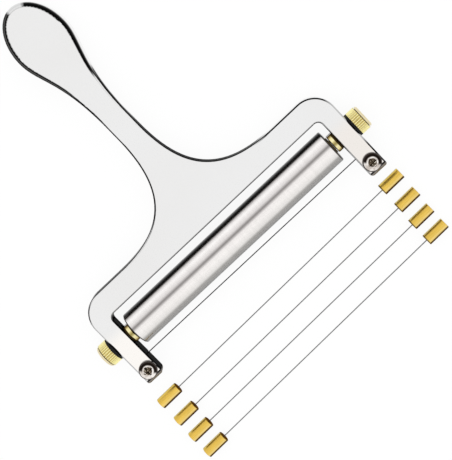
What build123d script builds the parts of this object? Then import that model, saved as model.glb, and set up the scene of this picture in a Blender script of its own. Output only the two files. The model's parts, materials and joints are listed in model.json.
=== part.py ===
from build123d import *
import os
from math import cos, radians, sin, sqrt

# Hand-held wire cheese slicer with four spare wires laid beside it.
# X runs along the roller, the handle points to +Y, +Z is up from the table.
# The origin is on the table, under the middle of the whole set.

os.makedirs("parts", exist_ok=True)

# Fork of the casting
bay_width = 127.0
bay_depth = 34.7
bay_corner_radius = 2.6
arm_width = 9.1
web_depth = 11.4
shoulder_radius = 11.2
arm_end_inner_radius = 2.2
arm_end_outer_radius = 1.4
arm_tip_radius = 2.7
body_thickness = 8.5
fork_edge_radius = 0.9

# Handle of the casting
flare_length = 42.4
flare_reach = 45.9
neck_half_width = 5.6
neck_length = 5.8
taper_length = 47.6
bulb_half_width = 13.75
nose_length = 19.6
handle_top_radius = 2.3
belly_radius = 3.4

# Pull of the outline curves at their ends, as shares of the stretch that they cross
flare_neck_pull_share = 0.65
flare_web_pull_share = 0.75
taper_neck_pull_share = 0.64
taper_bulb_pull_share = 0.25

# Cross-sections that the taper is lofted through, as shares of its outline's parameter
taper_section_shares = [0, 0.12, 0.24, 0.36, 0.48, 0.6, 0.72, 0.84, 1]

# Roller
roller_radius = 8.25
roller_wall = 1.2
roller_edge_chamfer = 0.35
bush_length = 9.0
bush_collar_radius = 4.2
bush_collar_height = 0.5

# Axle and its clamping parts
axle_radius = 2.5
axle_to_arm_end = 22.45
travel_to_wire = 2.4
travel_to_web = 3.1
nut_across_flats = 8.6
nut_thickness = 2.8
nut_chamfer = 0.45
washer_thickness = 1.1
knob_radius = 5.8
knob_knurl_length = 4.2
knob_groove_length = 0.3
knob_groove_depth = 0.35
knob_rim_length = 1.1
knob_rim_chamfer = 0.5
knurl_groove_radius = 0.42
knurl_count = 32
knob_end_wall = 1.1
axle_end_gap = 0.3

# Cutting wire and its ferrules
wire_radius = 0.25
wire_to_arm_end = 10.45
ferrule_radius = 2.7
ferrule_length = 7.9
ferrule_lip = 0.9
ferrule_seat_gap = 0.05
ferrule_edge_radius = 0.2
wire_embedment = 6.0

# Clamp screws and plates
screw_to_arm_end = 5.5
screw_head_radius = 4.3
screw_head_rim = 1.0
screw_head_height = 2.5
screw_shank_radius = 1.5
screw_end_length = 0.4
recess_length = 4.6
recess_width = 1.1
recess_depth = 1.7
recess_taper_angle = 8
plate_thickness = 1.8
plate_side_margin = 0.5
plate_end_margin = 0.5
plate_corner_radius = 1.6
plate_edge_chamfer = 0.3

# Spare wires laid out beside the arms
spare_ferrule_length = 11.15
spare_gap = 9.9
spare_pitches = [11.05, 10.0, 9.7]
spare_offsets = [-1.8, -2.1, -2.65, -2.65]
spare_turn_angles = [1.3, 1.44, 1.55, 1.7]

# Clearances
running_clearance = 0.05
screw_hole_clearance = 0.15
slot_clearance = 0.15
channel_clearance = 0.05
wire_slit_clearance = 0.15
roller_end_clearance = 0.3

# Overrun of every cut, and the margin used to pick edges
overrun = 1.0
picking_margin = 0.01

# Heights above the table
axle_z = roller_radius
body_bottom = axle_z - body_thickness / 2
body_top = axle_z + body_thickness / 2
ferrule_z = body_bottom + ferrule_radius
head_top_z = body_top + screw_head_height
screw_end_z = body_bottom - plate_thickness - screw_end_length

# Lengths along the slicer, and the places that follow from them
handle_length = flare_length + neck_length + taper_length + nose_length
slicer_length = bay_depth + web_depth + handle_length
spare_half_length = bay_width / 2 + ferrule_lip + ferrule_seat_gap + spare_ferrule_length
last_turn = radians(spare_turn_angles[-1])
spare_reach = spare_half_length * sin(last_turn) + ferrule_radius * cos(last_turn)
set_length = slicer_length + spare_gap + sum(spare_pitches) + spare_reach
arm_end_y = set_length / 2 - slicer_length
web_front_y = arm_end_y + bay_depth
web_back_y = web_front_y + web_depth
neck_front_y = web_back_y + flare_length
neck_back_y = neck_front_y + neck_length
bulb_y = neck_back_y + taper_length
nose_y = bulb_y + nose_length
axle_y = arm_end_y + axle_to_arm_end
wire_y = arm_end_y + wire_to_arm_end
screw_y = arm_end_y + screw_to_arm_end
channel_radius = ferrule_radius + channel_clearance
slit_half_width = wire_radius + wire_slit_clearance
plate_front_y = arm_end_y + plate_end_margin
plate_back_y = wire_y + channel_radius + plate_end_margin

# Places across the slicer, from its middle outwards
arm_inner_x = bay_width / 2
arm_outer_x = arm_inner_x + arm_width
arm_middle_x = (arm_inner_x + arm_outer_x) / 2
nut_inner_x = arm_inner_x - nut_thickness
roller_end_x = nut_inner_x - roller_end_clearance - bush_collar_height
washer_outer_x = arm_outer_x + washer_thickness
knob_length = knob_knurl_length + knob_groove_length + knob_rim_length
knob_bore_depth = knob_length - knob_end_wall
axle_end_x = washer_outer_x + knob_bore_depth - axle_end_gap
lip_outer_x = arm_inner_x + ferrule_lip
ferrule_inner_x = lip_outer_x + ferrule_seat_gap
nut_corner_radius = nut_across_flats / sqrt(3)
slot_radius = axle_radius + slot_clearance
slot_run = travel_to_web + travel_to_wire
slot_middle = (travel_to_web - travel_to_wire) / 2
plate_width = arm_width - 2 * plate_side_margin

sides = {"left": -1, "right": 1}


def outward_plane(side, x, y, z):
    """Plane across the roller's direction, facing away from the slicer's middle."""
    return Plane(origin=(side * x, y, z), x_dir=(0, 1, 0), z_dir=(side, 0, 0))


def save(builder, name):
    """Label one finished piece and write it to its file."""
    builder.part.label = name
    export_step(builder.part, f"parts/{name}.step")


def away_from(edges, y):
    """Edges that don't lie in the plane at this y."""
    return edges.filter_by(lambda edge: abs(edge.center().Y - y) > picking_margin)


def eased(share):
    """Share that leaves its start and reaches its end level."""
    return share * share * (3 - 2 * share)


# Helper solid: the taper from the neck to the bulb, bellied underneath
taper_curve = Bezier(
    (neck_half_width, neck_back_y),
    (neck_half_width, neck_back_y + taper_length * taper_neck_pull_share),
    (bulb_half_width, bulb_y - taper_length * taper_bulb_pull_share),
    (bulb_half_width, bulb_y),
)
with BuildPart() as handle_taper:
    for section_share in taper_section_shares:
        section_edge = taper_curve @ section_share
        swell = eased((section_edge.Y - neck_back_y) / taper_length)
        section_floor = body_bottom * (1 - swell)
        top_radius = fork_edge_radius + (handle_top_radius - fork_edge_radius) * swell
        bottom_radius = fork_edge_radius + (belly_radius - fork_edge_radius) * swell
        with BuildSketch(Plane(origin=(0, section_edge.Y, 0), x_dir=(1, 0, 0), z_dir=(0, -1, 0))):
            with Locations((0, (body_top + section_floor) / 2)):
                Rectangle(2 * section_edge.X, body_top - section_floor)
            fillet(vertices().group_by(Axis.Y)[-1], radius=top_radius)
            fillet(vertices().group_by(Axis.Y)[0], radius=bottom_radius)
    loft()

# Helper solid: the nose of the bulb, flat on top and flat where it rests
with BuildPart() as handle_nose:
    with BuildSketch(Plane.XY):
        with BuildLine():
            EllipticalCenterArc((0, bulb_y), bulb_half_width, nose_length, arc_size=180)
            Line((-bulb_half_width, bulb_y), (bulb_half_width, bulb_y))
        make_face()
    extrude(amount=body_top)
    nose_top = handle_nose.faces().sort_by(Axis.Z)[-1]
    nose_floor = handle_nose.faces().sort_by(Axis.Z)[0]
    fillet(away_from(nose_top.edges(), bulb_y), radius=handle_top_radius)
    fillet(away_from(nose_floor.edges(), bulb_y), radius=belly_radius)

# Frame casting: fork, neck and handle in one piece
with BuildPart() as frame_casting:
    with BuildSketch(Plane.XY.offset(body_bottom)):
        with BuildLine():
            flare = Bezier(
                (neck_half_width, neck_front_y),
                (neck_half_width, neck_front_y - flare_length * flare_neck_pull_share),
                (flare_reach - (flare_reach - neck_half_width) * flare_web_pull_share, web_back_y),
                (flare_reach, web_back_y),
            )
            neck_side = Line((neck_half_width, neck_front_y), (neck_half_width, neck_back_y))
            arm_outline = Polyline(
                (flare_reach, web_back_y),
                (arm_outer_x, web_back_y),
                (arm_outer_x, arm_end_y),
                (arm_inner_x, arm_end_y),
                (arm_inner_x, web_front_y),
                (0, web_front_y),
            )
            mirror(flare, about=Plane.YZ)
            mirror(neck_side, about=Plane.YZ)
            mirror(arm_outline, about=Plane.YZ)
            Line((-neck_half_width, neck_back_y), (neck_half_width, neck_back_y))
        make_face()
        for side in sides.values():
            corners = {
                (arm_outer_x, web_back_y): shoulder_radius,
                (arm_outer_x, arm_end_y): arm_end_outer_radius,
                (arm_inner_x, arm_end_y): arm_end_inner_radius,
                (arm_inner_x, web_front_y): bay_corner_radius,
            }
            for (corner_x, corner_y), corner_radius in corners.items():
                corner = Vector(side * corner_x, corner_y)
                fillet(vertices().sort_by_distance(corner)[0], radius=corner_radius)
    extrude(amount=body_thickness)
    fork_top = frame_casting.faces().sort_by(Axis.Z)[-1]
    fork_bottom = frame_casting.faces().sort_by(Axis.Z)[0]
    rim_edges = away_from(fork_top.edges() + fork_bottom.edges(), neck_back_y)
    fillet(rim_edges, radius=fork_edge_radius)
    # Rounder top edge across both tips
    tip_centre_y = arm_end_y + arm_tip_radius
    with BuildSketch(outward_plane(1, -arm_outer_x - overrun, tip_centre_y, body_top - arm_tip_radius)):
        tip_square = arm_tip_radius + overrun
        Rectangle(tip_square, tip_square, align=(Align.MAX, Align.MIN))
        Circle(arm_tip_radius, mode=Mode.SUBTRACT)
    extrude(amount=2 * (arm_outer_x + overrun), mode=Mode.SUBTRACT)
    add(handle_taper.part)
    add(handle_nose.part)

    for side in sides.values():
        # Slot that lets the axle be set nearer to the wire or farther from it
        with BuildSketch(outward_plane(side, arm_inner_x - overrun, axle_y, axle_z)):
            with Locations((slot_middle, 0)):
                SlotCenterToCenter(slot_run, 2 * slot_radius)
        extrude(amount=arm_width + 2 * overrun, mode=Mode.SUBTRACT)
        # Channel for the wire's ferrule and slit for the wire, both open to the underside
        for start_x, half_width in ((lip_outer_x, channel_radius), (arm_inner_x - overrun, slit_half_width)):
            cut_length = arm_outer_x + overrun - start_x
            with BuildSketch(outward_plane(side, start_x, wire_y, ferrule_z)):
                Circle(half_width)
            extrude(amount=cut_length, mode=Mode.SUBTRACT)
            with BuildSketch(Plane.XY.offset(body_bottom - overrun)):
                with Locations((side * (start_x + cut_length / 2), wire_y)):
                    Rectangle(cut_length, 2 * half_width)
            extrude(amount=ferrule_radius + overrun, mode=Mode.SUBTRACT)
        # Hole for the clamp screw
        with BuildSketch(Plane.XY.offset(body_bottom - overrun)):
            with Locations((side * arm_middle_x, screw_y)):
                Circle(screw_shank_radius + screw_hole_clearance)
        extrude(amount=body_thickness + 2 * overrun, mode=Mode.SUBTRACT)
save(frame_casting, "frame_casting")

# Roller tube
with BuildPart() as roller_tube:
    with BuildSketch(outward_plane(1, -roller_end_x, axle_y, axle_z)):
        Circle(roller_radius)
        Circle(roller_radius - roller_wall, mode=Mode.SUBTRACT)
    extrude(amount=2 * roller_end_x)
    end_edges = roller_tube.edges().filter_by(GeomType.CIRCLE).sort_by(SortBy.RADIUS)[-2:]
    chamfer(end_edges, length=roller_edge_chamfer)
save(roller_tube, "roller_tube")

# Axle rod, with its plain ends inside the knobs
with BuildPart() as axle_rod:
    with BuildSketch(outward_plane(1, -axle_end_x, axle_y, axle_z)):
        Circle(axle_radius)
    extrude(amount=2 * axle_end_x)
    chamfer(axle_rod.edges().filter_by(GeomType.CIRCLE), length=axle_end_gap)
save(axle_rod, "axle_rod")

for side_name, side in sides.items():
    # Bush pressed into the tube's end, with a small collar towards the nut
    with BuildPart() as roller_bush:
        with BuildSketch(outward_plane(side, roller_end_x - bush_length, axle_y, axle_z)):
            Circle(roller_radius - roller_wall)
        extrude(amount=bush_length)
        with BuildSketch(outward_plane(side, roller_end_x, axle_y, axle_z)):
            Circle(bush_collar_radius)
        extrude(amount=bush_collar_height)
        with BuildSketch(outward_plane(side, roller_end_x - bush_length, axle_y, axle_z)):
            Circle(axle_radius + running_clearance)
        extrude(amount=bush_length + bush_collar_height, mode=Mode.SUBTRACT)
    save(roller_bush, f"roller_bush_{side_name}")

    # Hexagonal nut between the arm and the roller, one corner upwards
    with BuildPart() as axle_nut:
        with BuildSketch(outward_plane(side, nut_inner_x, axle_y, axle_z)):
            RegularPolygon(nut_across_flats / 2, 6, major_radius=False, rotation=90)
        extrude(amount=nut_thickness)
        with BuildSketch(Plane(origin=(0, axle_y, axle_z), x_dir=(side, 0, 0), z_dir=(0, 0, 1))):
            with BuildLine():
                Polyline(
                    (nut_inner_x, 0),
                    (nut_inner_x, nut_corner_radius - nut_chamfer),
                    (nut_inner_x + nut_chamfer, nut_corner_radius),
                    (arm_inner_x - nut_chamfer, nut_corner_radius),
                    (arm_inner_x, nut_corner_radius - nut_chamfer),
                    (arm_inner_x, 0),
                    close=True,
                )
            make_face()
        revolve(axis=Axis((0, axle_y, axle_z), (1, 0, 0)), mode=Mode.INTERSECT)
        with BuildSketch(outward_plane(side, nut_inner_x, axle_y, axle_z)):
            Circle(axle_radius)
        extrude(amount=nut_thickness, mode=Mode.SUBTRACT)
    save(axle_nut, f"axle_nut_{side_name}")

    # Black washer under the knob
    with BuildPart() as knob_washer:
        with BuildSketch(outward_plane(side, arm_outer_x, axle_y, axle_z)):
            Circle(knob_radius)
            Circle(axle_radius, mode=Mode.SUBTRACT)
        extrude(amount=washer_thickness)
    save(knob_washer, f"knob_washer_{side_name}")

    # Knurled thumb knob with a smooth rim, blind at its outer end
    with BuildPart() as thumb_knob:
        with BuildSketch(outward_plane(side, washer_outer_x, axle_y, axle_z)):
            Circle(knob_radius)
            with PolarLocations(knob_radius, knurl_count):
                Circle(knurl_groove_radius, mode=Mode.SUBTRACT)
        extrude(amount=knob_knurl_length)
        groove_x = washer_outer_x + knob_knurl_length
        with BuildSketch(outward_plane(side, groove_x, axle_y, axle_z)):
            Circle(knob_radius - knob_groove_depth - knurl_groove_radius)
        extrude(amount=knob_groove_length)
        with BuildSketch(outward_plane(side, groove_x + knob_groove_length, axle_y, axle_z)):
            Circle(knob_radius - knob_groove_depth)
        extrude(amount=knob_rim_length)
        outer_face = thumb_knob.faces().sort_by(Axis.X)[-1 if side > 0 else 0]
        chamfer(outer_face.edges(), length=knob_rim_chamfer)
        with BuildSketch(outward_plane(side, washer_outer_x, axle_y, axle_z)):
            Circle(axle_radius + running_clearance)
        extrude(amount=knob_bore_depth, mode=Mode.SUBTRACT)
    save(thumb_knob, f"thumb_knob_{side_name}")

    # Clamp plate under the arm's end, which holds the ferrule up in its channel
    with BuildPart() as clamp_plate:
        with BuildSketch(Plane.XY.offset(body_bottom - plate_thickness)):
            with Locations((side * arm_middle_x, (plate_front_y + plate_back_y) / 2)):
                RectangleRounded(plate_width, plate_back_y - plate_front_y, plate_corner_radius)
            with Locations((side * arm_middle_x, screw_y)):
                Circle(screw_shank_radius + running_clearance, mode=Mode.SUBTRACT)
        extrude(amount=plate_thickness)
        plate_floor = clamp_plate.faces().sort_by(Axis.Z)[0]
        chamfer(plate_floor.outer_wire().edges(), length=plate_edge_chamfer)
    save(clamp_plate, f"clamp_plate_{side_name}")

    # Pan-head screw with a cross recess
    with BuildPart() as clamp_screw:
        with BuildSketch(Plane(origin=(side * arm_middle_x, screw_y, 0), x_dir=(1, 0, 0), z_dir=(0, -1, 0))):
            with BuildLine():
                EllipticalCenterArc(
                    (0, body_top + screw_head_rim),
                    screw_head_radius,
                    screw_head_height - screw_head_rim,
                    arc_size=90,
                )
                Polyline(
                    (0, head_top_z),
                    (0, screw_end_z),
                    (screw_shank_radius, screw_end_z),
                    (screw_shank_radius, body_top),
                    (screw_head_radius, body_top),
                    (screw_head_radius, body_top + screw_head_rim),
                )
            make_face()
        revolve(axis=Axis((side * arm_middle_x, screw_y, 0), (0, 0, 1)))
        with BuildSketch(Plane.XY.offset(head_top_z)):
            with Locations((side * arm_middle_x, screw_y)):
                Rectangle(recess_length, recess_width)
                Rectangle(recess_width, recess_length)
        extrude(amount=-recess_depth, taper=recess_taper_angle, mode=Mode.SUBTRACT)
    save(clamp_screw, f"clamp_screw_{side_name}")


def strung_wire(middle, turn):
    """Straight wire that reaches into a ferrule at each end."""
    direction = Vector(cos(radians(turn)), sin(radians(turn)), 0)
    half_length = ferrule_inner_x + wire_embedment
    with BuildPart() as wire:
        with BuildSketch(Plane(origin=middle - direction * half_length, z_dir=direction)):
            Circle(wire_radius)
        extrude(amount=2 * half_length)
    return wire


def crimped_ferrule(middle, turn, side, length):
    """Ferrule on one end of a wire, bored from the side that the wire comes in."""
    direction = Vector(cos(radians(turn)), sin(radians(turn)), 0) * side
    inner_end = middle + direction * ferrule_inner_x
    with BuildPart() as ferrule:
        with BuildSketch(Plane(origin=inner_end, z_dir=direction)):
            Circle(ferrule_radius)
        extrude(amount=length)
        fillet(ferrule.edges().filter_by(GeomType.CIRCLE), radius=ferrule_edge_radius)
        with BuildSketch(Plane(origin=inner_end, z_dir=direction)):
            Circle(wire_radius)
        extrude(amount=wire_embedment, mode=Mode.SUBTRACT)
    return ferrule


# Cutting wire strung between the arms
wire_middle = Vector(0, wire_y, ferrule_z)
save(strung_wire(wire_middle, 0), "cutting_wire")
for side_name, side in sides.items():
    save(crimped_ferrule(wire_middle, 0, side, ferrule_length), f"wire_ferrule_{side_name}")

# Spare wires, each lying on its own two ferrules
for number, (spare_x, turn) in enumerate(zip(spare_offsets, spare_turn_angles), start=1):
    spare_y = arm_end_y - spare_gap - sum(spare_pitches[: number - 1])
    spare_middle = Vector(spare_x, spare_y, ferrule_radius)
    save(strung_wire(spare_middle, turn), f"spare_wire_{number}")
    for side_name, side in sides.items():
        spare_ferrule = crimped_ferrule(spare_middle, turn, side, spare_ferrule_length)
        save(spare_ferrule, f"spare_ferrule_{number}_{side_name}")
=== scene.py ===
import json
import math
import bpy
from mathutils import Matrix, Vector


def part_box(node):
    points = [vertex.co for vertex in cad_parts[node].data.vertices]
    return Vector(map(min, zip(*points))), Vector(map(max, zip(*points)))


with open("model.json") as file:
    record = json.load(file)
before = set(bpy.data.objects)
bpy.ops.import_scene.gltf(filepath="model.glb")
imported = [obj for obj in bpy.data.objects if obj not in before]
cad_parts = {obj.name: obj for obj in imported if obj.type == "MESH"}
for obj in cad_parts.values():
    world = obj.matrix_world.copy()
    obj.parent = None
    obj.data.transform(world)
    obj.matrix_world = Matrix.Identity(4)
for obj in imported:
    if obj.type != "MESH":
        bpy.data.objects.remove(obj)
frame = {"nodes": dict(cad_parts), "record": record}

from types import SimpleNamespace

import bpy
from mathutils import Matrix, Vector

# Wire cheese slicer with four spare wires, in metres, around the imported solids.
# X runs along the roller, the handle points to +Y, +Z is up from the table.

MM = 0.001
PHOTO_LONG_SIDE = 460

# Camera, aimed at a point between the slicer and its spare wires
CAMERA_AIM = Vector((1.05 * MM, -30.48 * MM, 12 * MM))
CAMERA_DISTANCE = 600 * MM
CAMERA_SLOPES = (0.1273, 0.1163)
CAMERA_ROLL = 0.8092
CAMERA_FOCAL_PIXELS = 1362.0
CAMERA_SENSOR = 36.0

# Floor and light
FLOOR_SIZE = 6.0
FLOOR_GAP = 0.05 * MM
FLOOR_GLOW = 0.9
LAMP_PLACE = Vector((-0.3, 0.4, 1.6))
LAMP_SIZE = 1.8
LAMP_POWER = 6.0
SKY_LEVEL_AT_HORIZON = 0.85
SKY_LEVEL_OVERHEAD = 1.0
SKY_BLEND_HEIGHT = 0.5

# Places that the finishes follow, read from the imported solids
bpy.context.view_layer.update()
casting_low, casting_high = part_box("frame_casting")
nut_low, nut_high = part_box("axle_nut_right")
knob_low, knob_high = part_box("thumb_knob_right")
screw_low, screw_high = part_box("clamp_screw_right")
roller_end_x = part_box("roller_tube")[1].x
axle_y = (knob_low.y + knob_high.y) / 2
axle_z = (knob_low.z + knob_high.z) / 2
screw_x = (screw_low.x + screw_high.x) / 2
screw_y = (screw_low.y + screw_high.y) / 2
screw_radius = (screw_high.x - screw_low.x) / 2
KNURL_COUNT = 32

# Zones of the finishes: each starts at the first place and is full at the second
MIDDLE_BLEND = (-MM, MM)

# From the tips of the casting's arms
TIP = (3.2 * MM, 2.7 * MM)
ARM_FRONT = (17 * MM, 12 * MM)
SHINY_ARM = (31 * MM, 22 * MM)
ARM = (34.5 * MM, 33 * MM)
SHOULDER = (44 * MM, 34 * MM)
BEHIND_SHOULDER = (40 * MM, 46 * MM)

# From the end of the casting's handle
BULB_SIDE = (45 * MM, 39 * MM)
BULB = (50 * MM, 41 * MM)
NECK = (42.5 * MM, 47.5 * MM)
HANDLE = (78 * MM, 60 * MM)

# Across the casting, from its middle
LEFT_SHOULDER = (-20 * MM, -45 * MM)
RIGHT_SHOULDER = (34 * MM, 46 * MM)
LEFT_OF_RIGHT_SHOULDER = (44 * MM, 34 * MM)

# From the arms' outer sides, from the nuts' ends and up from the table
OUTER_EDGE = (1.5 * MM, 0.8 * MM)
INNER_WALL = (1.2 * MM, 0.9 * MM)
LOWER_HALF = (8.5 * MM, 6.5 * MM)

# Upward part of the casting's surface direction: 1 on its flat top, 0 on its walls
BULB_EDGE = (0.99, 0.97)
ROLLED_EDGE = (0.98, 0.95)
GENTLE_EDGE = (0.74, 0.84)
CLEAR_EDGE = (0.4, 0.8)
WALL = (0.12, 0.04)
UNDERSIDE = (-0.3, -0.6)

# Part of the casting's surface direction towards +X, towards +Y and towards both
FACING_RIGHT = (-0.1, 0.2)
FACING_LEFT = (-0.2, -0.4)
FACING_BAY = (0.3, 0.0)
FACING_BACK = (0.2, 0.5)
FACING_FRONT = (-0.2, -0.26)
FACING_RIGHT_OR_BACK = (0.1, 0.35)

# Heading of the handle's nose, in radians from +Y towards +X
NOSE_LEFT = (-0.3, -0.12)
NOSE_RIGHT = (0.68, 0.50)

# How far the tips escape the dark tint of steep walls
TIP_CLEARNESS = 0.35

# From the ends of the roller, the nuts and the knobs, and in front of the casting
ROLLER_CHAMFER = (0.7 * MM, 0.4 * MM)
NUT_ARM_END = (1.0 * MM, 0.8 * MM)
NUT_ROLLER_END = (0.45 * MM, 0.3 * MM)
KNOB_GROOVE = (1.55 * MM, 1.45 * MM)
KNOB_RIM = (1.15 * MM, 1.05 * MM)
SPARE_WIRES = (0.0, 5 * MM)

# Shares of the ferrules' length and of the screws' radius
FERRULE_RIM = (0.065, 0.045)
SCREW_RECESS = (0.48, 0.40)
SCREW_RING = (0.54, 0.66)
SCREW_DARK_SIDE = (-0.30, 0.0)
SCREW_OUTLINE = (0.84, 0.92)


class Graph:
    """Short ways to add and link the nodes of one material or world."""

    def __init__(self, tree):
        self.tree = tree

    def node(self, kind, **settings):
        made = self.tree.nodes.new(kind)
        for name, value in settings.items():
            setattr(made, name, value)
        return made

    def put(self, socket, value):
        """Link a socket to another one, or give it a plain value."""
        if isinstance(value, bpy.types.NodeSocket):
            self.tree.links.new(value, socket)
        else:
            socket.default_value = value

    def math(self, operation, first, second=0.0, third=0.0):
        made = self.node("ShaderNodeMath", operation=operation)
        for socket, value in zip(made.inputs, (first, second, third)):
            self.put(socket, value)
        return made.outputs[0]

    def both(self, *shares):
        """Share where all the given shares hold."""
        product = shares[0]
        for share in shares[1:]:
            product = self.math("MULTIPLY", product, share)
        return product

    def either(self, *shares):
        """Share where any of the given shares holds."""
        largest = shares[0]
        for share in shares[1:]:
            largest = self.math("MAXIMUM", largest, share)
        return largest

    def without(self, share):
        """Share where the given share doesn't hold."""
        return self.math("SUBTRACT", 1.0, share)

    def fade(self, value, start, end, low=0.0, high=1.0):
        """Smooth change from low to high while the value goes from start to end."""
        made = self.node("ShaderNodeMapRange", interpolation_type="SMOOTHSTEP")
        for socket, number in zip(made.inputs[:5], (value, start, end, low, high)):
            self.put(socket, number)
        return made.outputs[0]

    def side(self, x, left=0.0, right=1.0):
        """One value on the slicer's left half and another on its right half."""
        return self.fade(x, *MIDDLE_BLEND, left, right)

    def noise(self, vector, scale, detail=2.0):
        made = self.node("ShaderNodeTexNoise")
        self.put(made.inputs["Vector"], vector)
        self.put(made.inputs["Scale"], scale)
        self.put(made.inputs["Detail"], detail)
        return made.outputs["Fac"]

    def stretch(self, vector, scales):
        made = self.node("ShaderNodeMapping")
        self.put(made.inputs["Vector"], vector)
        self.put(made.inputs["Scale"], scales)
        return made.outputs[0]

    def split(self, vector):
        made = self.node("ShaderNodeSeparateXYZ")
        self.put(made.inputs[0], vector)
        return made.outputs[:3]

    def ramp(self, value, stops):
        made = self.node("ShaderNodeValToRGB")
        elements = made.color_ramp.elements
        while len(elements) < len(stops):
            elements.new(1.0)
        for element, (place, colour) in zip(elements, stops):
            element.position = place
            element.color = (*colour, 1.0)
        self.put(made.inputs[0], value)
        return made.outputs[0]

    def mix(self, share, first, second, blend="MIX"):
        made = self.node("ShaderNodeMix", data_type="RGBA", blend_type=blend)
        self.put(made.inputs["Factor"], share)
        self.put(made.inputs[6], first)
        self.put(made.inputs[7], second)
        return made.outputs[2]

    def shaded(self, colour, level):
        """Colour times a grey level."""
        return self.mix(1.0, colour, level, "MULTIPLY")

    def bump(self, height, distance):
        made = self.node("ShaderNodeBump")
        self.put(made.inputs["Height"], height)
        self.put(made.inputs["Distance"], distance)
        self.put(made.inputs["Strength"], 1.0)
        return made.outputs[0]

    def place(self):
        """Object coordinates, which ride with the piece, in metres."""
        return self.node("ShaderNodeTexCoord").outputs["Object"]

    def facing(self):
        """Direction of the surface in the piece's own axes."""
        return self.node("ShaderNodeTexCoord").outputs["Normal"]

    def lean(self, direction):
        """Turn of the surface about X: 0 faces -Y, 0.5 faces up, 1 faces +Y."""
        to_right, to_back, upright = self.split(direction)
        turn = self.math("ARCTAN2", to_back, upright)
        return self.math("MULTIPLY_ADD", turn, 1 / math.pi, 0.5)


def grey(level):
    return (level, level, level, 1.0)


def tilted(degrees, colour):
    """Stop of a lean ramp for a surface that leans back by this many degrees."""
    return (degrees / 180 + 0.5, colour)


def new_material(name):
    material = bpy.data.materials.new(name)
    material.use_nodes = True
    graph = Graph(material.node_tree)
    return material, graph, material.node_tree.nodes["Principled BSDF"].inputs


def casting_areas(graph, place):
    """How far each point of the casting lies in each area of its finish, from 0 to 1."""
    x, y, z = graph.split(place)
    to_right, to_back, upright = graph.split(graph.facing())
    across = graph.math("ABSOLUTE", x)
    from_tips = graph.math("SUBTRACT", y, casting_low.y)
    from_handle_end = graph.math("SUBTRACT", casting_high.y, y)
    from_side = graph.math("SUBTRACT", casting_high.x, across)
    from_nut = graph.math("SUBTRACT", across, nut_high.x)
    heading = graph.math("ARCTAN2", to_right, to_back)
    area = SimpleNamespace(to_right=to_right, to_back=to_back, upright=upright, right=graph.side(x))

    # Arms
    arm = graph.fade(from_tips, *ARM)
    over_nuts = graph.fade(across, nut_low.x, nut_high.x)
    area.shiny_arm = graph.both(over_nuts, graph.fade(from_tips, *SHINY_ARM))
    area.outer_edge = graph.both(graph.fade(from_side, *OUTER_EDGE), graph.fade(from_tips, *SHOULDER))
    area.right_arm_front = graph.both(area.right, graph.fade(from_tips, *ARM_FRONT))
    area.right_bay = graph.both(area.right, graph.fade(to_right, *FACING_LEFT), arm)
    area.inner_wall = graph.both(graph.fade(from_nut, *INNER_WALL), arm)
    area.tip = graph.both(graph.fade(to_back, *FACING_FRONT), graph.fade(from_tips, *TIP))

    # Rolled edges, which carry the painted dark reflections; their gentler part stays bright on the
    # right of the neck and on the fork's back
    neck = graph.both(graph.fade(from_handle_end, *NECK), graph.fade(x, *LEFT_OF_RIGHT_SHOULDER))
    right_or_back = graph.fade(graph.math("ADD", to_right, to_back), *FACING_RIGHT_OR_BACK)
    gentle = graph.both(graph.fade(from_tips, *BEHIND_SHOULDER), graph.fade(upright, *GENTLE_EDGE))
    steep = graph.without(graph.both(neck, right_or_back, gentle))
    area.rolled = graph.both(graph.fade(upright, *ROLLED_EDGE), steep)
    area.left_shoulder = graph.both(graph.fade(x, *LEFT_SHOULDER), graph.fade(to_back, *FACING_BACK))

    # Bulb, with its nose in a narrow range of headings
    bulb = graph.fade(from_handle_end, *BULB)
    area.bulb = graph.both(bulb, graph.fade(upright, *BULB_EDGE), steep)
    area.nose = graph.both(graph.fade(heading, *NOSE_LEFT), graph.fade(heading, *NOSE_RIGHT), area.bulb)

    # Walls and underside
    area.wall = graph.fade(upright, *WALL)
    area.underside = graph.fade(upright, *UNDERSIDE)

    # What stays clear of the painted dark reflection at a glancing view: gentle slopes, low on the
    # handle, the bulb's right side and nose, the right shoulder and a little of the tips, though not the
    # arms' walls in the bay
    low_handle = graph.both(graph.fade(from_handle_end, *HANDLE), graph.fade(z, *LOWER_HALF))
    right_bulb = graph.both(graph.fade(from_handle_end, *BULB_SIDE), graph.fade(to_right, *FACING_RIGHT))
    clear = graph.either(low_handle, right_bulb, graph.fade(x, *RIGHT_SHOULDER), area.nose)
    bay_wall = graph.both(arm, graph.fade(to_right, *FACING_BAY))
    clear = graph.both(clear, graph.without(bay_wall))
    dim_tip = graph.both(area.tip, TIP_CLEARNESS)
    area.clear = graph.either(clear, dim_tip, graph.fade(upright, *CLEAR_EDGE))
    return area


def top_tone(graph, place, area):
    """Flat top, with a painted highlight that makes it lighter or warmer towards the ends of the arms.
    """
    cloud = graph.noise(place, 28.0, 3.0)
    tone = graph.ramp(cloud, [(0.3, (0.83, 0.825, 0.82)), (0.7, (0.85, 0.85, 0.85))])
    arm_highlight = graph.mix(area.right, (0.97, 0.94, 0.90, 1.0), (0.87, 0.83, 0.79, 1.0))
    return graph.mix(area.shiny_arm, tone, arm_highlight)


def edge_tone(graph, area):
    """Painted reflections on the rolled edges, black towards the back and paler towards the wire and
    outside the arms.
    """
    tone = graph.fade(area.to_back, -0.1, -0.6, 0.008, 0.42)
    tone = graph.math("ADD", tone, graph.both(area.left_shoulder, 0.05))
    outer_reflection = graph.mix(area.right_arm_front, grey(0.55), grey(0.005))
    tone = graph.mix(area.outer_edge, tone, outer_reflection)
    return graph.mix(area.right_bay, tone, grey(0.38))


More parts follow.
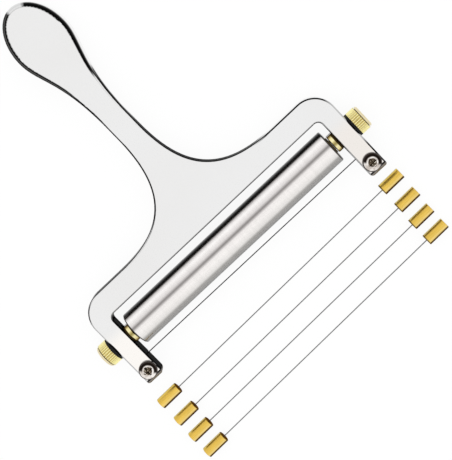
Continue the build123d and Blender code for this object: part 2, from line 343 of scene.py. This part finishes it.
def bulb_tone(graph, area):
    """Painted reflections on the wide round edge of the bulb, paling where it faces the floor on the
    right.
    """
    pale_reflection = graph.ramp(area.upright, [
        (0.08, (0.85, 0.85, 0.85)),
        (0.32, (0.50, 0.49, 0.48)),
        (0.52, (0.04, 0.04, 0.04)),
        (0.80, (0.003, 0.003, 0.003)),
    ])
    dark_reflection = graph.ramp(area.upright, [
        (0.30, (0.10, 0.10, 0.10)),
        (0.67, (0.03, 0.03, 0.03)),
        (0.83, (0.10, 0.098, 0.095)),
        (0.92, (0.003, 0.003, 0.003)),
    ])
    return graph.mix(graph.fade(area.to_right, 0.0, -0.25), pale_reflection, dark_reflection)


def chrome_casting():
    """Polished casting, with the dark reflections of the room painted on its rolled edges."""
    material, graph, shader = new_material("polished_chrome")
    place = graph.place()
    area = casting_areas(graph, place)

    tone = graph.mix(area.rolled, top_tone(graph, place, area), edge_tone(graph, area))
    # Walls, with the arms' inner walls painted darker as a dark reflection
    tone = graph.mix(area.wall, tone, graph.mix(area.inner_wall, grey(0.8), grey(0.47)))
    tone = graph.mix(area.bulb, tone, bulb_tone(graph, area))
    # The bulb's nose is painted pale as a reflection
    tone = graph.mix(area.nose, tone, grey(0.74))

    # Rounded tips, with a painted reflection: a black line above a warm grey
    tip_reflection = graph.ramp(area.upright, [(0.80, (0.27, 0.25, 0.235)), (0.90, (0.008, 0.007, 0.006))])
    tone = graph.mix(area.tip, tone, tip_reflection)
    tone = graph.mix(area.underside, tone, grey(0.7))
    graph.put(shader["Base Color"], tone)
    shader["Metallic"].default_value = 1.0

    # Steep walls go dark at a glancing view, a dark reflection painted through a dark specular tint
    graph.put(shader["Specular Tint"], graph.fade(area.clear, 0.0, 1.0, 0.02, 1.0))

    haze = graph.noise(place, 900.0)
    haze_level = graph.fade(haze, 0.3, 0.7, 0.05, 0.09)
    graph.put(shader["Roughness"], graph.math("MULTIPLY_ADD", area.tip, 0.3, haze_level))
    ripple = graph.noise(graph.stretch(place, (1.0, 0.25, 1.0)), 60.0, 1.0)
    graph.put(shader["Normal"], graph.bump(ripple, 0.01 * MM))
    return material


def brushed_tube():
    """Turned tube with painted reflections, which stay in place while it spins."""
    material, graph, shader = new_material("brushed_tube")
    place = graph.place()
    reflection_bands = graph.ramp(graph.lean(graph.node("ShaderNodeNewGeometry").outputs["Normal"]), [
        tilted(-80, (0.16, 0.157, 0.152)),
        tilted(-66, (0.215, 0.21, 0.205)),
        tilted(-50, (0.375, 0.365, 0.355)),
        tilted(-41, (0.39, 0.38, 0.365)),
        tilted(-31, (0.77, 0.75, 0.73)),
        tilted(-10, (0.915, 0.885, 0.865)),
        tilted(1, (0.87, 0.835, 0.82)),
        tilted(9, (0.33, 0.31, 0.305)),
        tilted(12, (0.28, 0.262, 0.257)),
        tilted(20, (0.72, 0.69, 0.68)),
        tilted(38, (1.0, 0.97, 0.957)),
        tilted(45, (0.87, 0.835, 0.825)),
        tilted(57, (0.16, 0.145, 0.14)),
        tilted(65, (0.008, 0.007, 0.007)),
        tilted(75, (0.01, 0.009, 0.009)),
        tilted(87, (0.14, 0.135, 0.13)),
    ])
    grain = graph.noise(graph.stretch(place, (30.0, 1.0, 1.0)), 400.0, 3.0)
    streaks = graph.noise(graph.stretch(place, (8.0, 0.3, 0.3)), 90.0)
    fine_wear = graph.fade(grain, 0.2, 0.8, 0.95, 1.05)
    worn = graph.both(fine_wear, graph.fade(streaks, 0.25, 0.75, 0.97, 1.03))
    # Chamfers at the roller's ends painted near-black as shade
    from_end = graph.math("SUBTRACT", roller_end_x, graph.math("ABSOLUTE", graph.split(place)[0]))
    chamfer_shade = graph.fade(from_end, *ROLLER_CHAMFER)
    tone = graph.mix(chamfer_shade, graph.shaded(reflection_bands, worn), (0.05, 0.045, 0.04, 1.0))
    graph.put(shader["Base Color"], tone)
    shader["Metallic"].default_value = 1.0
    graph.put(shader["Roughness"], graph.fade(grain, 0.2, 0.8, 0.16, 0.26))
    graph.put(shader["Normal"], graph.bump(grain, 0.004 * MM))
    return material


def drawn_steel(name, level, spare_level=None):
    """Steel with lengthwise grain, which may be painted lighter on the spare wires beside the slicer, as
    painted light.
    """
    material, graph, shader = new_material(name)
    place = graph.place()
    grain = graph.noise(graph.stretch(place, (1.0, 25.0, 25.0)), 120.0)
    in_front = graph.math("SUBTRACT", casting_low.y, graph.split(place)[1])
    shade = graph.fade(in_front, *SPARE_WIRES, level, spare_level or level)
    graph.put(shader["Base Color"], graph.shaded(shade, graph.fade(grain, 0.2, 0.8, 0.9, 1.1)))
    shader["Metallic"].default_value = 1.0
    graph.put(shader["Roughness"], graph.fade(grain, 0.2, 0.8, 0.25, 0.4))
    return material


def ferrule_brass():
    """Gold tube with painted shading, dark brown on its side towards -Y, with inner ends painted brown
    as shade.
    """
    material, graph, shader = new_material("ferrule_brass")
    place = graph.place()
    facing = graph.facing()
    reflection_bands = graph.ramp(graph.lean(facing), [
        tilted(-62, (0.12, 0.075, 0.02)),
        tilted(-41, (0.09, 0.05, 0.012)),
        tilted(-34, (0.60, 0.45, 0.15)),
        tilted(-26, (0.93, 0.70, 0.26)),
        tilted(-10, (0.86, 0.60, 0.14)),
        tilted(20, (0.80, 0.53, 0.095)),
        tilted(45, (0.75, 0.50, 0.10)),
        tilted(62, (0.82, 0.59, 0.12)),
        tilted(88, (0.95, 0.86, 0.50)),
    ])
    grain = graph.noise(graph.stretch(place, (1.0, 14.0, 14.0)), 220.0, 3.0)
    tone = graph.shaded(reflection_bands, graph.fade(grain, 0.2, 0.8, 0.86, 1.1))

    # The right ones also get a brown rim painted as shade at the inner end
    x = graph.split(place)[0]
    inward = graph.math("MULTIPLY", graph.split(facing)[0], graph.side(x, 1.0, -1.0))
    along = graph.split(graph.node("ShaderNodeTexCoord").outputs["Generated"])[0]
    rim = graph.both(graph.fade(along, *FERRULE_RIM), graph.side(x))
    tone = graph.mix(graph.either(rim, graph.fade(inward, 0.3, 0.6)), tone, (0.20, 0.135, 0.035, 1.0))
    graph.put(shader["Base Color"], tone)
    shader["Metallic"].default_value = 1.0
    shader["Specular Tint"].default_value = (0.30, 0.22, 0.10, 1.0)
    graph.put(shader["Roughness"], graph.fade(grain, 0.2, 0.8, 0.25, 0.4))
    graph.put(shader["Normal"], graph.bump(grain, 0.006 * MM))
    return material


def knob_brass():
    """Painted highlights on the ridges, painted olive shade in the grooves and a smooth rim at the outer
    end.
    """
    material, graph, shader = new_material("knob_brass")
    place = graph.place()
    x, y, z = graph.split(place)
    turn = graph.math("ARCTAN2", graph.math("SUBTRACT", z, axle_z), graph.math("SUBTRACT", y, axle_y))
    # Painted highlights on the knurl's ridges and painted shade between them
    knurl_light_wave = graph.math("COSINE", graph.math("MULTIPLY", turn, KNURL_COUNT))
    cloud = graph.noise(place, 350.0)
    tone = graph.ramp(graph.fade(knurl_light_wave, -0.8, 0.8), [
        (0.1, (1.0, 0.93, 0.50)),
        (0.5, (0.95, 0.82, 0.36)),
        (0.9, (0.50, 0.39, 0.15)),
    ])
    tone = graph.shaded(tone, graph.fade(cloud, 0.3, 0.7, 0.93, 1.05))
    from_face = graph.math("SUBTRACT", knob_high.x, graph.math("ABSOLUTE", x))
    # Painted dark shade in the groove before the rim
    tone = graph.mix(graph.fade(from_face, *KNOB_GROOVE), tone, (0.09, 0.06, 0.02, 1.0))
    tone = graph.mix(graph.fade(from_face, *KNOB_RIM), tone, (0.80, 0.70, 0.45, 1.0))
    graph.put(shader["Base Color"], tone)
    shader["Metallic"].default_value = 1.0
    graph.put(shader["Roughness"], graph.fade(cloud, 0.2, 0.8, 0.18, 0.3))
    return material


def nut_brass():
    """Machined flats with painted reflections, bright between dark corners, with ends painted dark as
    shade.
    """
    material, graph, shader = new_material("nut_brass")
    place = graph.place()
    grain = graph.noise(graph.stretch(place, (3.0, 1.0, 1.0)), 300.0, 3.0)
    x, y, z = graph.split(place)
    from_axle = graph.math("ABSOLUTE", graph.math("SUBTRACT", y, axle_y))
    tone = graph.ramp(graph.math("DIVIDE", from_axle, nut_high.y - axle_y), [
        (0.02, (0.36, 0.29, 0.10)),
        (0.20, (0.62, 0.52, 0.22)),
        (0.36, (0.98, 0.90, 0.52)),
        (0.66, (0.90, 0.78, 0.40)),
        (0.84, (0.30, 0.21, 0.07)),
        (0.96, (0.04, 0.025, 0.008)),
    ])
    tone = graph.shaded(tone, graph.fade(grain, 0.2, 0.8, 0.9, 1.08))
    # Both ends painted near-black as the shade against the arm and the roller
    across = graph.math("ABSOLUTE", x)
    arm_end_shade = graph.fade(graph.math("SUBTRACT", nut_high.x, across), *NUT_ARM_END)
    roller_end_shade = graph.fade(graph.math("SUBTRACT", across, nut_low.x), *NUT_ROLLER_END)
    tone = graph.mix(graph.either(arm_end_shade, roller_end_shade), tone, (0.03, 0.018, 0.005, 1.0))
    graph.put(shader["Base Color"], tone)
    shader["Metallic"].default_value = 1.0
    graph.put(shader["Roughness"], graph.fade(grain, 0.2, 0.8, 0.18, 0.3))
    return material


def shaded_turned_brass():
    """Turned bushes in the ends of the roller, painted dark as the shade between the nut and the roller.
    """
    material, graph, shader = new_material("shaded_turned_brass")
    grain = graph.noise(graph.stretch(graph.place(), (12.0, 1.0, 1.0)), 300.0, 3.0)
    tone = graph.ramp(grain, [(0.25, (0.05, 0.035, 0.012)), (0.75, (0.11, 0.08, 0.03))])
    graph.put(shader["Base Color"], tone)
    shader["Metallic"].default_value = 1.0
    graph.put(shader["Roughness"], graph.fade(grain, 0.2, 0.8, 0.25, 0.4))
    return material


def black_nylon():
    """Matt black washers."""
    material, graph, shader = new_material("black_nylon")
    mottle = graph.noise(graph.place(), 700.0, 3.0)
    graph.put(shader["Base Color"], graph.ramp(mottle, [(0.3, (0.003,) * 3), (0.7, (0.008,) * 3)]))
    shader["Specular IOR Level"].default_value = 0.15
    graph.put(shader["Roughness"], graph.fade(mottle, 0.3, 0.7, 0.45, 0.6))
    graph.put(shader["Normal"], graph.bump(mottle, 0.01 * MM))
    return material


def screw_chrome():
    """Painted warm reflections round the crown, a painted dark reflection towards the handle and a cross
    recess painted brown as shade, with painted glints.
    """
    material, graph, shader = new_material("screw_chrome")
    place = graph.place()
    mottle = graph.noise(place, 500.0)
    steel = graph.ramp(mottle, [(0.35, (0.58, 0.52, 0.47)), (0.6, (0.97, 0.93, 0.89))])

    # Place from the screw's axis, in shares of its radius.
    # It follows the slicer's frame, so the reflections stay while the screw turns.
    x, y, z = graph.split(graph.node("ShaderNodeNewGeometry").outputs["Position"])
    from_axis = graph.math("SUBTRACT", x, graph.side(x, -screw_x, screw_x))
    right = graph.math("DIVIDE", from_axis, screw_radius)
    back = graph.math("DIVIDE", graph.math("SUBTRACT", y, screw_y), screw_radius)
    squares = graph.math("MULTIPLY_ADD", right, right, graph.math("MULTIPLY", back, back))
    out = graph.math("SQRT", squares)
    slant = graph.math("MULTIPLY_ADD", right, 0.75, graph.math("MULTIPLY", back, 0.65))

    # Painted dark reflection on the side towards the handle, and a painted dark outline
    dark = graph.both(graph.fade(out, *SCREW_RING), graph.fade(slant, *SCREW_DARK_SIDE))
    tone = graph.mix(dark, steel, (0.012, 0.008, 0.006, 1.0))
    tone = graph.mix(graph.fade(out, *SCREW_OUTLINE), tone, (0.06, 0.05, 0.045, 1.0))
    painted_glint_noise = graph.noise(place, 900.0, 1.0)
    recess = graph.ramp(painted_glint_noise, [
        (0.45, (0.05, 0.038, 0.025)),
        (0.62, (0.16, 0.12, 0.08)),
        (0.72, (0.9, 0.85, 0.72)),
    ])
    tone = graph.mix(graph.fade(out, *SCREW_RECESS), tone, recess)
    graph.put(shader["Base Color"], tone)
    shader["Metallic"].default_value = 1.0
    graph.put(shader["Roughness"], graph.fade(mottle, 0.3, 0.7, 0.1, 0.16))
    return material


def floor_material():
    """White for the camera and in reflections, with a faint share of the shadow."""
    material, graph, shader = new_material("pale_floor")
    speckle = graph.noise(graph.place(), 40.0)
    graph.put(shader["Base Color"], graph.ramp(speckle, [(0.3, (0.93,) * 3), (0.7, (0.95,) * 3)]))
    shader["Roughness"].default_value = 0.8
    shader["Specular IOR Level"].default_value = 0.0
    rays = graph.node("ShaderNodeLightPath").outputs
    seen = graph.either(rays["Is Camera Ray"], rays["Is Glossy Ray"], rays["Is Transmission Ray"])
    glow = graph.node("ShaderNodeEmission")
    graph.put(glow.inputs["Color"], grey(1.0))
    graph.put(glow.inputs["Strength"], 1.0)
    blend = graph.node("ShaderNodeMixShader")
    graph.put(blend.inputs[0], graph.both(seen, FLOOR_GLOW))
    graph.put(blend.inputs[1], material.node_tree.nodes["Principled BSDF"].outputs[0])
    graph.put(blend.inputs[2], glow.outputs[0])
    graph.put(material.node_tree.nodes["Material Output"].inputs[0], blend.outputs[0])
    return material


def floor():
    bpy.ops.mesh.primitive_plane_add(size=FLOOR_SIZE, location=(0, 0, -FLOOR_GAP))
    plane = bpy.context.object
    plane.name = "floor"
    plane.data.materials.append(floor_material())


def studio_world():
    """White tent, a little darker towards the horizon."""
    world = bpy.data.worlds.new("studio")
    bpy.context.scene.world = world
    world.use_nodes = True
    graph = Graph(world.node_tree)
    height = graph.split(graph.node("ShaderNodeTexCoord").outputs["Generated"])[2]
    level = graph.fade(height, 0.0, SKY_BLEND_HEIGHT, SKY_LEVEL_AT_HORIZON, SKY_LEVEL_OVERHEAD)
    background = world.node_tree.nodes["Background"].inputs
    graph.put(background["Strength"], level)
    graph.put(background["Color"], grey(1.0))


def lamp():
    """Large soft lamp overhead, left out of the reflections."""
    data = bpy.data.lights.new("softbox", "AREA")
    data.shape = "DISK"
    data.size = LAMP_SIZE
    data.energy = LAMP_POWER
    softbox = bpy.data.objects.new("softbox", data)
    softbox.location = LAMP_PLACE
    softbox.rotation_euler = (-LAMP_PLACE).to_track_quat("-Z", "Y").to_euler()
    softbox.visible_glossy = False
    bpy.context.scene.collection.objects.link(softbox)


def camera():
    """Long lens, tilted from straight down by its slopes and rolled about its own axis."""
    data = bpy.data.cameras.new("camera")
    data.sensor_width = CAMERA_SENSOR
    data.lens = CAMERA_FOCAL_PIXELS * CAMERA_SENSOR / PHOTO_LONG_SIDE
    eye = bpy.data.objects.new("camera", data)
    back = Vector((*CAMERA_SLOPES, 1.0)).normalized()
    up = Vector((math.cos(CAMERA_ROLL), math.sin(CAMERA_ROLL), 0.0))
    up = (up - back * up.dot(back)).normalized()
    right = up.cross(back)
    turn = Matrix((right, up, back)).transposed().to_4x4()
    eye.matrix_world = Matrix.Translation(CAMERA_AIM + back * CAMERA_DISTANCE) @ turn
    bpy.context.scene.collection.objects.link(eye)
    bpy.context.scene.camera = eye


def dress():
    """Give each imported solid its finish."""
    finishes = {
        "chrome_casting": chrome_casting(),
        "brushed_steel_tube": brushed_tube(),
        "steel_rod": drawn_steel("drawn_rod", 0.3),
        # The fitted wire is painted darker than the spare wires, as painted shade
        "steel_wire": drawn_steel("drawn_wire", 0.06, 0.2),
        "brass_bush": shaded_turned_brass(),
        "brass_nut": nut_brass(),
        "brass_knob": knob_brass(),
        "brass_ferrule": ferrule_brass(),
        "black_washer": black_nylon(),
        "plate_steel": drawn_steel("ground_plate", 0.6),
        "chrome_screw": screw_chrome(),
    }
    for subpart in frame["record"]["subparts"]:
        node = frame["nodes"][subpart["node"]]
        node.data.materials.clear()
        node.data.materials.append(finishes[subpart["material_slot"]])


bpy.context.scene.view_settings.view_transform = "Standard"
dress()
floor()
studio_world()
lamp()
camera()
